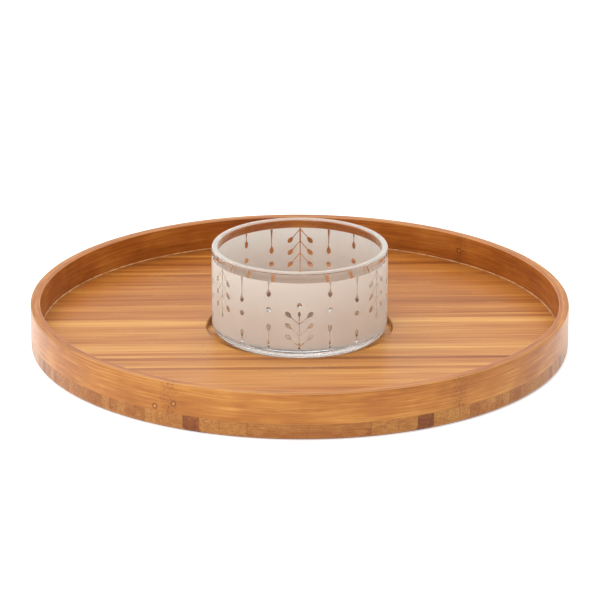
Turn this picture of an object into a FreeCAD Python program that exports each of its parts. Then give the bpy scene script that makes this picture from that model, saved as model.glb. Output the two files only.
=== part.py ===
"""Chip and dip server: a round bamboo tray with a loose glass bowl in its middle.

The tray's floor is a disc of narrow bamboo strips glued side by side. A hoop
of three thin plies bent round one another stands on the edge of that disc. A
shallow round recess in the middle of the floor keeps the bowl in place.

Millimetres, +Z up. The origin is the centre of the tray's underside. The
strips run along X.
"""

import FreeCAD, Part

import math
import os

import Sketcher
from FreeCAD import Vector

# Driving dimensions: alias, value, what it is.
SIZES = (
    ("tray_diameter", 400.0, "outside of the board and of the hoop on it"),
    ("board_thickness", 12.0, "from the underside to the floor of the tray"),
    ("board_edge_round", 3.5, "round on the board's lower edge"),
    ("strip_width", 5.14, "one bamboo strip, measured across the grain"),
    ("hoop_height", 22.5, "from the floor of the tray to the top of the rim"),
    ("outer_ply_thickness", 2.5, "ply that faces out"),
    ("core_ply_thickness", 2.5, "ply between the other two"),
    ("inner_ply_thickness", 2.5, "ply that faces the food"),
    ("rim_top_chamfer", 1.0, "ease on the rim's two upper edges"),
    ("scarf_gap", 0.15, "glue line where a ply's two tapered ends meet"),
    ("scarf_slope", 4.0, "length of that taper for each unit of ply thickness"),
    ("recess_depth", 5.0, "how deep the bowl sits in the board"),
    ("recess_clearance", 4.0, "between the bowl and the recess's wall"),
    ("recess_edge_chamfer", 0.6, "ease on the recess's upper edge"),
    ("bowl_diameter", 130.5, "outside of the bowl"),
    ("bowl_height", 69.0, "from the bowl's foot to its lip"),
    ("bowl_wall", 4.5, "glass at the sides and the lip"),
    ("bowl_base", 9.0, "glass under the dip"),
    ("bowl_foot_round", 10.0, "round between the bowl's side and its foot"),
    ("bowl_inner_round", 8.0, "round between the bowl's side and its inner floor"),
    ("bowl_foot_hollow", 1.2, "how far the middle of the foot stands clear"),
    ("bowl_foot_ring", 9.0, "width of the flat ring that the bowl stands on"),
)

# Each node of the floor holds neighbouring strips, each strip its own solid.
STRIPS_PER_NODE = 2

# Where each ply's ends meet, in degrees round the tray from +X, kept apart so
# that no two meet at one place.
OUTER_SCARF_ANGLE = 98.0
CORE_SCARF_ANGLE = 62.0
INNER_SCARF_ANGLE = -84.0

# The hollow under the bowl slopes in by this many times its own height.
HOLLOW_SLOPE = 4

# The share of the lip's thickness that the round on either side of it takes.
LIP_ROUND_SHARE = 0.48

# Two lengths closer than this, in millimetres, are the same.
SAME_LENGTH = 1e-4


def make_sheet(doc):
    """Puts the driving dimensions in a spreadsheet, one aliased cell each."""
    sheet = doc.addObject("Spreadsheet::Sheet", "sizes")
    for row, (alias, value, meaning) in enumerate(SIZES, start=1):
        sheet.set("A%d" % row, alias)
        sheet.set("B%d" % row, str(value))
        sheet.set("C%d" % row, meaning)
        sheet.setAlias("B%d" % row, alias)
    doc.recompute()
    return sheet


def origin_feature(body, role):
    """The plane or axis of the body's own origin with this role."""
    return next(item for item in body.Origin.OriginFeatures if item.Role == role)


def turned_body(doc, name, corners):
    """A PartDesign body turned about Z from a closed outline of straight sides.

    Each corner is a pair of expressions, its distance from the axis and its
    height. A distance or height of exactly "0" is tied to the sketch's axis.
    """
    body = doc.addObject("PartDesign::Body", name)
    sketch = body.newObject("Sketcher::SketchObject", name + "_outline")
    sketch.AttachmentSupport = [(origin_feature(body, "XZ_Plane"), "")]
    sketch.MapMode = "FlatFace"

    # The outline is drawn at its real place first, so that the solver keeps
    # its shape when the constraints are bound to the sheet.
    placed = [
        Vector(value_of(doc, across), value_of(doc, height), 0.0)
        for across, height in corners
    ]
    count = len(corners)
    for index in range(count):
        ends = (placed[index], placed[(index + 1) % count])
        sketch.addGeometry(Part.LineSegment(*ends), False)
    for index in range(count):
        after = (index + 1) % count
        sketch.addConstraint(Sketcher.Constraint("Coincident", index, 2, after, 1))
    for index, (across, height) in enumerate(corners):
        tie_corner(sketch, index, "DistanceX", across, placed[index].x)
        tie_corner(sketch, index, "DistanceY", height, placed[index].y)

    turned = body.newObject("PartDesign::Revolution", name + "_turned")
    turned.Profile = sketch
    turned.ReferenceAxis = (origin_feature(body, "Z_Axis"), [""])
    turned.Angle = 360.0
    body.Tip = turned
    doc.recompute()
    return body


def value_of(doc, expression):
    """The number that an expression on the sheet's cells works out to."""
    return float(doc.sizes.evalExpression(expression.replace("sizes.", "")))


def tie_corner(sketch, line, kind, expression, value):
    """Ties the start of a line of the sketch to a distance from its origin."""
    if expression == "0":
        other_axis = -2 if kind == "DistanceX" else -1
        sketch.addConstraint(Sketcher.Constraint("PointOnObject", line, 1, other_axis))
        return
    index = sketch.addConstraint(Sketcher.Constraint(kind, -1, 1, line, 1, value))
    sketch.setExpression("Constraints[%d]" % index, expression)


def ease_edges(doc, body, name, feature, size, circles):
    """Eases the body's circular edges at these (distance, height) places.

    feature is "Fillet" for a round or "Chamfer" for a flat, and size is the
    expression for its radius or its width.
    """
    base = body.Tip
    names = []
    for across, height in circles:
        wanted = (value_of(doc, across), value_of(doc, height))
        names.extend(
            "Edge%d" % number
            for number, edge in enumerate(base.Shape.Edges, start=1)
            if is_circle_at(edge, *wanted)
        )
    if len(names) < len(circles):
        raise RuntimeError("%s: an edge to ease was not found" % name)
    eased = body.newObject("PartDesign::" + feature, name)
    eased.Base = (base, names)
    eased.setExpression("Radius" if feature == "Fillet" else "Size", size)
    body.Tip = eased
    doc.recompute()


def is_circle_at(edge, across, height):
    """Whether an edge is a circle about Z of this radius at this height."""
    if not isinstance(edge.Curve, Part.Circle):
        return False
    same_radius = abs(edge.Curve.Radius - across) < SAME_LENGTH
    return same_radius and abs(edge.Curve.Center.z - height) < SAME_LENGTH


def make_board(doc):
    """The whole disc of the tray's floor, before it is split into strips."""
    radius = "sizes.tray_diameter / 2"
    recess = "sizes.bowl_diameter / 2 + sizes.recess_clearance"
    recess_floor = "sizes.board_thickness - sizes.recess_depth"
    board = turned_body(doc, "board", (
        ("0", "0"),
        (radius, "0"),
        (radius, "sizes.board_thickness"),
        (recess, "sizes.board_thickness"),
        (recess, recess_floor),
        ("0", recess_floor),
    ))
    ease_edges(doc, board, "lower_edge", "Fillet", "sizes.board_edge_round",
               [(radius, "0")])
    ease_edges(doc, board, "recess_edge", "Chamfer", "sizes.recess_edge_chamfer",
               [(recess, "sizes.board_thickness")])
    return board


def make_strip(doc, board, number, start, end):
    """One strip: the part of the board between two lines along the grain.

    start and end are expressions for the strip's two sides, along Y.
    """
    span = doc.addObject("Part::Box", "span_%03d" % number)
    span.setExpression("Length", "sizes.tray_diameter")
    span.setExpression("Width", "(%s) - (%s)" % (end, start))
    span.setExpression("Height", "sizes.board_thickness")
    span.setExpression("Placement.Base.x", "-sizes.tray_diameter / 2")
    span.setExpression("Placement.Base.y", start)
    strip = doc.addObject("Part::Common", "strip_%03d" % number)
    strip.Base = board
    strip.Tool = span
    return strip


def make_floor(doc, board):
    """All the floor's strips, grouped into nodes of neighbouring strips.

    A glue line runs through the centre. The strip at either edge takes
    whatever width is left over.
    """
    each_side = max(1, round(value_of(doc, "tray_diameter / 2 / strip_width")))
    strips = []
    for number in range(-each_side, each_side):
        start = "%d * sizes.strip_width" % number
        end = "%d * sizes.strip_width" % (number + 1)
        if number == -each_side:
            start = "-sizes.tray_diameter / 2"
        if number == each_side - 1:
            end = "sizes.tray_diameter / 2"
        strips.append(make_strip(doc, board, len(strips) + 1, start, end))

    nodes = []
    for first in range(0, len(strips), STRIPS_PER_NODE):
        name = "floor_strips_%02d" % (len(nodes) + 1)
        group = doc.addObject("Part::Compound", name)
        group.Links = strips[first:first + STRIPS_PER_NODE]
        group.Label = name
        nodes.append(group)
    return nodes


def make_ply(doc, label, inner, outer, eased, angle):
    """One bent ply of the hoop, from its inner to its outer radius.

    eased lists the radii whose upper edge has a chamfer. The ply's two ends meet
    in a long taper at the given angle round the tray.
    """
    top = "sizes.board_thickness + sizes.hoop_height"
    ring = turned_body(doc, label + "_ring", (
        (inner, "sizes.board_thickness"),
        (outer, "sizes.board_thickness"),
        (outer, top),
        (inner, top),
    ))
    if eased:
        ease_edges(doc, ring, label + "_top_edge", "Chamfer", "sizes.rim_top_chamfer",
                   [(radius, top) for radius in eased])

    # The taper crosses the ply's middle. The box that cuts it is four times as
    # long as the taper, so that it runs out past both the ply's faces.
    middle = "((%s) + (%s)) / 2" % (inner, outer)
    reach = "4 * ((%s) - (%s)) * sizes.scarf_slope" % (outer, inner)
    turn = angle + 90.0 - math.degrees(math.atan(1.0 / value_of(doc, "scarf_slope")))
    cutter = doc.addObject("Part::Box", label + "_scarf")
    cutter.setExpression("Length", reach)
    cutter.setExpression("Width", "sizes.scarf_gap")
    cutter.setExpression("Height", "sizes.hoop_height + sizes.board_thickness")
    along = Vector(math.cos(math.radians(turn)), math.sin(math.radians(turn)), 0.0)
    outward = Vector(math.cos(math.radians(angle)), math.sin(math.radians(angle)), 0.0)
    length = value_of(doc, reach)
    start = outward * value_of(doc, middle) - along * (length / 2)
    start.z = value_of(doc, "board_thickness / 2")
    cutter.Placement = FreeCAD.Placement(start, FreeCAD.Rotation(Vector(0, 0, 1), turn))
    ply = doc.addObject("Part::Cut", label)
    ply.Base = ring
    ply.Tool = cutter
    ply.Label = label
    return ply


def make_hoop(doc):
    """The three plies of the rim, from the outside in."""
    outer_face = "sizes.tray_diameter / 2"
    outer_line = outer_face + " - sizes.outer_ply_thickness"
    core_line = outer_line + " - sizes.core_ply_thickness"
    inner_face = core_line + " - sizes.inner_ply_thickness"
    return [
        make_ply(doc, "rim_outer_ply", outer_line, outer_face, [outer_face],
                 OUTER_SCARF_ANGLE),
        make_ply(doc, "rim_core_ply", core_line, outer_line, [], CORE_SCARF_ANGLE),
        make_ply(doc, "rim_inner_ply", inner_face, core_line, [inner_face],
                 INNER_SCARF_ANGLE),
    ]


def make_bowl(doc):
    """The glass bowl, standing on the floor of the recess."""
    outer = "sizes.bowl_diameter / 2"
    inner = outer + " - sizes.bowl_wall"
    foot = "sizes.board_thickness - sizes.recess_depth"
    lip = foot + " + sizes.bowl_height"
    floor = foot + " + sizes.bowl_base"
    hollow_edge = outer + " - sizes.bowl_foot_round - sizes.bowl_foot_ring"
    hollow_top = foot + " + sizes.bowl_foot_hollow"
    bowl = turned_body(doc, "bowl", (
        ("0", hollow_top),
        (hollow_edge + " - %d * sizes.bowl_foot_hollow" % HOLLOW_SLOPE, hollow_top),
        (hollow_edge, foot),
        (outer, foot),
        (outer, lip),
        (inner, lip),
        (inner, floor),
        ("0", floor),
    ))
    ease_edges(doc, bowl, "foot_round", "Fillet", "sizes.bowl_foot_round",
               [(outer, foot)])
    ease_edges(doc, bowl, "inner_round", "Fillet", "sizes.bowl_inner_round",
               [(inner, floor)])
    # The lip is fully rounded, short of the last sliver of flat.
    ease_edges(doc, bowl, "lip_round", "Fillet", "sizes.bowl_wall * %s" % LIP_ROUND_SHARE,
               [(outer, lip), (inner, lip)])
    bowl.Label = "dip_bowl"
    return bowl


def check(doc, nodes):
    """Stops if any object failed, or a node's shape is empty or not valid."""
    for item in doc.Objects:
        if "Invalid" in item.State or "Error" in item.State:
            raise RuntimeError("%s could not be made: %s" % (item.Label, item.State))
    for node in nodes:
        if node.Shape.isNull() or not node.Shape.isValid() or not node.Shape.Solids:
            raise RuntimeError("%s has no valid solid" % node.Label)


def main():
    """Builds every piece and writes each node's shape to parts/."""
    doc = FreeCAD.newDocument("chip_and_dip_server")
    make_sheet(doc)
    board = make_board(doc)
    nodes = make_floor(doc, board) + make_hoop(doc) + [make_bowl(doc)]
    doc.recompute()
    check(doc, nodes)
    os.makedirs("parts", exist_ok=True)
    for node in nodes:
        node.Shape.exportStep("parts/%s.step" % node.Label)
        print("%s: %d solid(s), %.0f mm3"
              % (node.Label, len(node.Shape.Solids), node.Shape.Volume))


main()
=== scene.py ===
"""Looks of a round bamboo chip and dip server with a frosted glass bowl.

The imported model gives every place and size, in metres, +Z up. The strips of
the tray's floor keep their own meshes and get a bamboo finish. The three bent
plies of the rim and the glass bowl are modelled again here, finely enough to
be looked at closely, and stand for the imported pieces. A thin bead of glue
where the floor meets the rim is added.
"""

import logging
import math
from dataclasses import dataclass, field
from enum import Enum, IntEnum
from typing import Callable, Iterable, Sequence

import bpy
from mathutils import Matrix, Quaternion, Vector
from mathutils.geometry import delaunay_2d_cdt


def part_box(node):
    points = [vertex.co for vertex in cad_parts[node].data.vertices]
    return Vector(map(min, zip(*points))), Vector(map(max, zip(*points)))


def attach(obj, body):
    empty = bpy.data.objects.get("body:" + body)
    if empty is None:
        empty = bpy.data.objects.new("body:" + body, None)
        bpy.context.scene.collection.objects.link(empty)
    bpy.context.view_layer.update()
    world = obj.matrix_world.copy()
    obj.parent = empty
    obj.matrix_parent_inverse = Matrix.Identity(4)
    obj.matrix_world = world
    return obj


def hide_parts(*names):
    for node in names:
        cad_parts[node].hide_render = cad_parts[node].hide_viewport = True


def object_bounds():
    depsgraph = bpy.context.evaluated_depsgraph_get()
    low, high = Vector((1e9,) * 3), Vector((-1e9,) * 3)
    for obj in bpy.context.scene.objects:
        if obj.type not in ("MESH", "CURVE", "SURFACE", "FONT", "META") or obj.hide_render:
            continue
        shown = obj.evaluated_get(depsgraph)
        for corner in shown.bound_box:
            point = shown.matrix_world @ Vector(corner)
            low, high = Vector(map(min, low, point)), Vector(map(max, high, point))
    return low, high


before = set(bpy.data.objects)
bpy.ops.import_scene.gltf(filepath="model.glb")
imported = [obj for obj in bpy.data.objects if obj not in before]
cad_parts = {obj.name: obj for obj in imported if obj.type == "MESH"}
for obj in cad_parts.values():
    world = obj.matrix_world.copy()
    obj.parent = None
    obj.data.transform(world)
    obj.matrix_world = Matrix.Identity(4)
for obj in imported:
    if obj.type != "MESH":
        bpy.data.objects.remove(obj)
CAD_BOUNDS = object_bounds()

log = logging.getLogger("chip_and_dip_server")

MM = 0.001
TURN = 2.0 * math.pi
TRAY_RADIUS = (CAD_BOUNDS[1][0] - CAD_BOUNDS[0][0]) / 2.0
STRIPS_PER_NODE = 2
ROUND_STEPS = 288

Point = tuple[float, float]
Colour = tuple[float, float, float]


# ---------------------------------------------------------------------------
# Colours and small geometry
# ---------------------------------------------------------------------------


def colour(red: int, green: int, blue: int) -> Colour:
    """Turns a colour as seen on a screen into the linear one that shaders use.

    Args:
        red: The red part, 0 to 255.
        green: The green part, 0 to 255.
        blue: The blue part, 0 to 255.

    Returns:
        The linear colour.
    """
    def linear(part: int) -> float:
        """One part of the colour, made linear."""
        share = part / 255.0
        return share / 12.92 if share <= 0.04045 else ((share + 0.055) / 1.055) ** 2.4

    return linear(red), linear(green), linear(blue)


def inner_radius(node: str) -> float:
    """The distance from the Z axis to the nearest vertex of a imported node."""
    return min(math.hypot(v.co.x, v.co.y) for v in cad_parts[node].data.vertices)


def outer_radius(node: str) -> float:
    """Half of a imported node's width along X."""
    low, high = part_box(node)
    return (high.x - low.x) / 2.0


def only(obj: bpy.types.Object) -> None:
    """Makes an object the only one that is selected, and the active one."""
    bpy.ops.object.select_all(action="DESELECT")
    obj.select_set(True)
    bpy.context.view_layer.objects.active = obj


def pick(obj: bpy.types.Object, wanted: Callable[[Vector, Vector], bool]) -> None:
    """Selects the faces of an object whose centre and normal pass a test.

    Args:
        obj: The object, in object mode.
        wanted: Takes a face's centre and its normal.
    """
    mesh = obj.data
    mesh.vertices.foreach_set("select", [False] * len(mesh.vertices))
    mesh.edges.foreach_set("select", [False] * len(mesh.edges))
    chosen = [bool(wanted(face.center, face.normal)) for face in mesh.polygons]
    mesh.polygons.foreach_set("select", chosen)


def pick_rings(obj: bpy.types.Object, rings: Iterable[Point]) -> None:
    """Selects the edges of rings about Z, in object mode.

    Args:
        obj: The object.
        rings: The radius and height of each ring.
    """
    mesh = obj.data
    close = 0.02 * MM

    def on_ring(index: int, radius: float, height: float) -> bool:
        """Whether a vertex lies on one ring."""
        place = mesh.vertices[index].co
        near = abs(math.hypot(place.x, place.y) - radius) < close
        return near and abs(place.z - height) < close

    mesh.polygons.foreach_set("select", [False] * len(mesh.polygons))
    mesh.vertices.foreach_set("select", [False] * len(mesh.vertices))
    chosen = [
        any(all(on_ring(index, *ring) for index in edge.vertices) for ring in rings)
        for edge in mesh.edges
    ]
    mesh.edges.foreach_set("select", chosen)


def in_edit_mode(select_mode: str, *steps: Callable[[], object]) -> None:
    """Runs mesh operators on the active object's selection.

    Args:
        select_mode: VERT, EDGE or FACE.
        steps: The operators to run, in order.
    """
    bpy.ops.object.mode_set(mode="EDIT")
    bpy.ops.mesh.select_mode(type=select_mode)
    for step in steps:
        step()
    bpy.ops.object.mode_set(mode="OBJECT")


def clean(obj: bpy.types.Object, merge: float = 0.001 * MM) -> None:
    """Merges an object's doubles and turns its faces outwards."""
    only(obj)
    in_edit_mode(
        "VERT",
        lambda: bpy.ops.mesh.select_all(action="SELECT"),
        lambda: bpy.ops.mesh.remove_doubles(threshold=merge),
        lambda: bpy.ops.mesh.normals_make_consistent(inside=False),
        lambda: bpy.ops.mesh.select_all(action="DESELECT"),
    )


def smooth(obj: bpy.types.Object, degrees: float = 40.0) -> None:
    """Shades an object smooth, but for its edges sharper than an angle."""
    only(obj)
    bpy.ops.object.shade_smooth_by_angle(angle=math.radians(degrees))


def named(obj: bpy.types.Object, name: str) -> bpy.types.Object:
    """Gives an object and its mesh a name, and returns the object."""
    obj.name = name
    obj.data.name = name
    return obj


# ---------------------------------------------------------------------------
# Shader graphs
# ---------------------------------------------------------------------------


Socket = bpy.types.NodeSocket
Feed = Socket | float | int | Sequence[float]


@dataclass
class Graph:
    """A node tree that is being drawn, with a short call for each common node."""

    tree: bpy.types.NodeTree

    def node(self, kind: str, settings: dict | None = None, **feeds: Feed) -> bpy.types.Node:
        """Adds a node.

        Args:
            kind: The node's Blender type.
            settings: Properties of the node, by name.
            feeds: What each input gets, by its name with spaces as underscores.

        Returns:
            The new node.
        """
        made = self.tree.nodes.new(kind)
        for name, value in (settings or {}).items():
            setattr(made, name, value)
        for name, value in feeds.items():
            self.feed(made.inputs[name.replace("_", " ")], value)
        return made

    def feed(self, socket: Socket, value: Feed) -> None:
        """Links a socket to another, or sets its plain value."""
        if isinstance(value, bpy.types.NodeSocket):
            self.tree.links.new(value, socket)
        elif socket.type == "RGBA" and len(value) == 3:
            socket.default_value = (*value, 1.0)
        else:
            socket.default_value = value

    def math(self, operation: str, *values: Feed, clamp: bool = False) -> Socket:
        """One Math node, with its inputs in order."""
        made = self.tree.nodes.new("ShaderNodeMath")
        made.operation = operation
        made.use_clamp = clamp
        for socket, value in zip(made.inputs, values):
            self.feed(socket, value)
        return made.outputs[0]

    def vector(self, x: Feed, y: Feed, z: Feed) -> Socket:
        """Three numbers joined into a vector."""
        return self.node("ShaderNodeCombineXYZ", X=x, Y=y, Z=z).outputs[0]

    def stretch(self, along: Feed, across: Feed, deep: Feed,
                along_scale: float, across_scale: float) -> Socket:
        """A place for a pattern that is drawn out along the grain."""
        return self.vector(self.math("MULTIPLY", along, along_scale),
                           self.math("MULTIPLY", across, across_scale),
                           self.math("MULTIPLY", deep, across_scale))

    def length(self, x: Feed, y: Feed) -> Socket:
        """How long the vector from nought to a flat place is."""
        return self.node("ShaderNodeVectorMath", {"operation": "LENGTH"},
                         Vector=self.vector(x, y, 0.0)).outputs["Value"]

    def noise(self, place: Feed, scale: float, detail: float = 3.0,
              roughness: float = 0.5) -> Socket:
        """Smooth noise from 0 to 1 at a place."""
        made = self.node("ShaderNodeTexNoise", Vector=place, Scale=scale, Detail=detail,
                         Roughness=roughness)
        return made.outputs["Fac"]

    def spots(self, place: Feed, inner: float, outer: float, scale: float = 1.0,
              randomness: float = 1.0) -> Socket:
        """Soft dots, 1 within the inner distance of a dot's middle and 0 past the outer."""
        cells = self.node("ShaderNodeTexVoronoi", {"feature": "F1"}, Scale=scale,
                          Randomness=randomness, Vector=place)
        return self.band(cells.outputs["Distance"], inner, outer, 1.0, 0.0)

    def shift(self, value: Feed, share: float, start: Feed) -> Socket:
        """Adds a share of how far a value lies from one half."""
        away = self.math("SUBTRACT", value, 0.5)
        return self.math("MULTIPLY_ADD", away, share, start)

    def tinge(self, share: float, mask: Feed, base: Feed, tint: Feed) -> Socket:
        """Blends a tint into a colour by a share of a mask."""
        return self.blend(self.math("MULTIPLY", mask, share), base, tint)

    def random(self, seed: Feed) -> Socket:
        """A number from 0 to 1 that is the same wherever the seed is."""
        made = self.node("ShaderNodeTexWhiteNoise", {"noise_dimensions": "1D"}, W=seed)
        return made.outputs["Value"]

    def band(self, value: Feed, low: float, high: float,
             start: float = 0.0, end: float = 1.0) -> Socket:
        """Maps low to start and high to end, smoothly, and holds them outside."""
        made = self.node("ShaderNodeMapRange", {"interpolation_type": "SMOOTHSTEP"})
        self.feed(made.inputs["Value"], value)
        for name, number in (("From Min", low), ("From Max", high),
                             ("To Min", start), ("To Max", end)):
            made.inputs[name].default_value = number
        return made.outputs["Result"]

    def ramp(self, value: Feed, stops: Sequence[tuple[float, Colour]]) -> Socket:
        """Colours from a list of stops."""
        made = self.node("ShaderNodeValToRGB", Fac=value)
        elements = made.color_ramp.elements
        while len(elements) < len(stops):
            elements.new(0.5)
        for element, (place, tint) in zip(elements, stops):
            element.position = place
            element.color = (*tint, 1.0)
        return made.outputs["Color"]

    def blend(self, share: Feed, first: Feed, second: Feed, how: str = "MIX") -> Socket:
        """Mixes two colours."""
        made = self.node("ShaderNodeMix", {"data_type": "RGBA", "blend_type": how})
        # A Mix node has one set of sockets for each kind of data: these are
        # the factor and the two colours.
        self.feed(made.inputs[0], share)
        self.feed(made.inputs[6], first)
        self.feed(made.inputs[7], second)
        return made.outputs[2]


def new_group(name: str, inputs: Iterable[str], outputs: Iterable[tuple[str, str]],
              ) -> tuple[Graph, bpy.types.Node, bpy.types.Node]:
    """Starts a shader node group.

    Args:
        name: The group's name.
        inputs: The names of its inputs, all plain numbers.
        outputs: The name and socket type of each output.

    Returns:
        The group's graph, its input node and its output node.
    """
    tree = bpy.data.node_groups.new(name, "ShaderNodeTree")
    for label in inputs:
        tree.interface.new_socket(label, in_out="INPUT", socket_type="NodeSocketFloat")
    for label, kind in outputs:
        tree.interface.new_socket(label, in_out="OUTPUT", socket_type=kind)
    graph = Graph(tree)
    return graph, graph.node("NodeGroupInput"), graph.node("NodeGroupOutput")


class BambooGroups:
    """The node groups that every bamboo finish shares, each built once."""

    def __init__(self) -> None:
        """Builds the fibre group and the knuckle group."""
        self.fibre = self.build_fibre()
        self.knuckle = self.build_knuckle()

    @staticmethod
    def build_fibre() -> bpy.types.NodeTree:
        """Long fibres: streaks along the grain, and dots where they are cut across.

        Inputs are the place along the grain and the two places across it, in
        metres, a Seed that tells one piece from another, Dense, the share of
        dark fibre bundles, Wander, how far the fibres stray sideways, and
        Short, how many times shorter they are than the longest.

        Returns:
            The group, whose outputs are Streak, Bundle, Cloud and Height.
        """
        graph, given, out = new_group(
            "bamboo_fibre",
            ("Along", "Across", "Deep", "Seed", "Dense", "Wander", "Short"),
            [(name, "NodeSocketFloat") for name in ("Streak", "Bundle", "Cloud", "Height")],
        )
        along, across, deep, seed, dense, wander, short = given.outputs[:7]
        # The scales are in waves to a metre, along the grain and across it.
        run = graph.math("MULTIPLY", graph.math("MULTIPLY_ADD", seed, 7.31, along), short)
        stray = graph.noise(graph.stretch(run, across, deep, 5.0, 40.0), 1.0, 1.0)
        stray = graph.math("MULTIPLY", graph.math("SUBTRACT", stray, 0.5), wander)
        across = graph.math("ADD", across, stray)

        fine = graph.noise(graph.stretch(run, across, deep, 7.0, 760.0), 1.0, 3.0, 0.6)
        broad = graph.noise(graph.stretch(run, across, deep, 4.0, 260.0), 1.0, 2.0, 0.5)
        streak = graph.math("ADD", graph.math("MULTIPLY", fine, 0.7),
                            graph.math("MULTIPLY", broad, 0.3))

        core = graph.spots(graph.stretch(run, across, deep, 17.0, 740.0), 0.14, 0.44,
                           randomness=0.8)
        bundle = graph.math("MULTIPLY", core, dense, clamp=True)

        cloud = graph.noise(graph.stretch(run, across, deep, 7.0, 45.0), 1.0, 2.0)
        height = graph.math("SUBTRACT", streak, graph.math("MULTIPLY", bundle, 0.45))
        for name, value in (("Streak", streak), ("Bundle", bundle),
                            ("Cloud", cloud), ("Height", height)):
            graph.feed(out.inputs[name], value)
        return graph.tree

    @staticmethod
    def build_knuckle() -> bpy.types.NodeTree:
        """The mark of one of the cane's joints across the grain.

        Inputs are the place along the grain and the places across it, in
        metres, and Place, where along the grain the joint is.

        Returns:
            The group, whose outputs are Line, a thin wandering line, Speck, the
            brown specks on either side of it, and Glow, the zone they lie in.
        """
        graph, given, out = new_group(
            "bamboo_knuckle", ("Along", "Across", "Deep", "Place"),
            [(name, "NodeSocketFloat") for name in ("Line", "Speck", "Glow")],
        )
        along, across, deep, place = given.outputs[:4]
        wander = graph.noise(graph.stretch(0.0, across, deep, 1.0, 260.0), 1.0, 2.0)
        offset = graph.math("MULTIPLY", graph.math("SUBTRACT", wander, 0.5), 8.0 * MM)
        from_place = graph.math("SUBTRACT", along, place)
        far = graph.math("ABSOLUTE", graph.math("SUBTRACT", from_place, offset))
        line = graph.band(far, 0.2 * MM, 1.1 * MM, 1.0, 0.0)

        spots = graph.spots(graph.stretch(from_place, across, deep, 480.0, 560.0), 0.22, 0.5)
        thinned = graph.noise(graph.stretch(from_place, across, deep, 520.0, 700.0), 1.0, 1.0)
        spots = graph.math("MULTIPLY", spots, graph.band(thinned, 0.4, 0.55))
        zone = graph.band(far, 3.0 * MM, 8.0 * MM, 1.0, 0.0)
        speck = graph.math("MULTIPLY", spots, zone)
        for name, value in (("Line", line), ("Speck", speck), ("Glow", zone)):
            graph.feed(out.inputs[name], value)
        return graph.tree


def use_group(graph: Graph, group: bpy.types.NodeTree, **feeds: Feed) -> bpy.types.Node:
    """Places a shader node group in a material's graph."""
    return graph.node("ShaderNodeGroup", {"node_tree": group}, **feeds)


def new_material(name: str) -> tuple[bpy.types.Material, Graph, bpy.types.Node]:
    """Starts a material.

    Args:
        name: The material's name.

    Returns:
        The material, its graph and its Principled shader.
    """
    made = bpy.data.materials.new(name)
    made.use_nodes = True
    return made, Graph(made.node_tree), made.node_tree.nodes["Principled BSDF"]


# ---------------------------------------------------------------------------
# Finishes
# ---------------------------------------------------------------------------


@dataclass(frozen=True)
class Lacquer:
    """The thin satin lacquer over all of the bamboo."""

    roughness: float = 0.3
    specular: float = 0.26
    coat_weight: float = 0.08
    coat_roughness: float = 0.12
    coat_ior: float = 1.45
    rougher_between: float = 0.06
    smoother_on_streaks: float = 0.12
    relief_depth: float = 0.05 * MM

    def dress(self, graph: Graph, shader: bpy.types.Node, base: Socket, streak: Socket,
              relief: Socket, strength: float) -> None:
        """Finishes a bamboo material under its lacquer.

        Args:
            graph: The material's graph.
            shader: Its Principled shader.
            base: The colour of the bamboo.
            streak: The streaks along the grain, from 0 to 1.
            relief: The height of the fibres.
            strength: How strongly the relief shows.
        """
        bump = graph.node("ShaderNodeBump", Height=relief, Strength=strength,
                          Distance=self.relief_depth)
        rough = graph.math("MULTIPLY_ADD", streak, -self.smoother_on_streaks,
                           self.roughness + self.rougher_between)
        graph.feed(shader.inputs["Base Color"], base)
        graph.feed(shader.inputs["Roughness"], rough)
        graph.feed(shader.inputs["Normal"], bump.outputs[0])
        shader.inputs["Specular IOR Level"].default_value = self.specular
        shader.inputs["Coat Weight"].default_value = self.coat_weight
        shader.inputs["Coat Roughness"].default_value = self.coat_roughness
        shader.inputs["Coat IOR"].default_value = self.coat_ior


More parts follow.
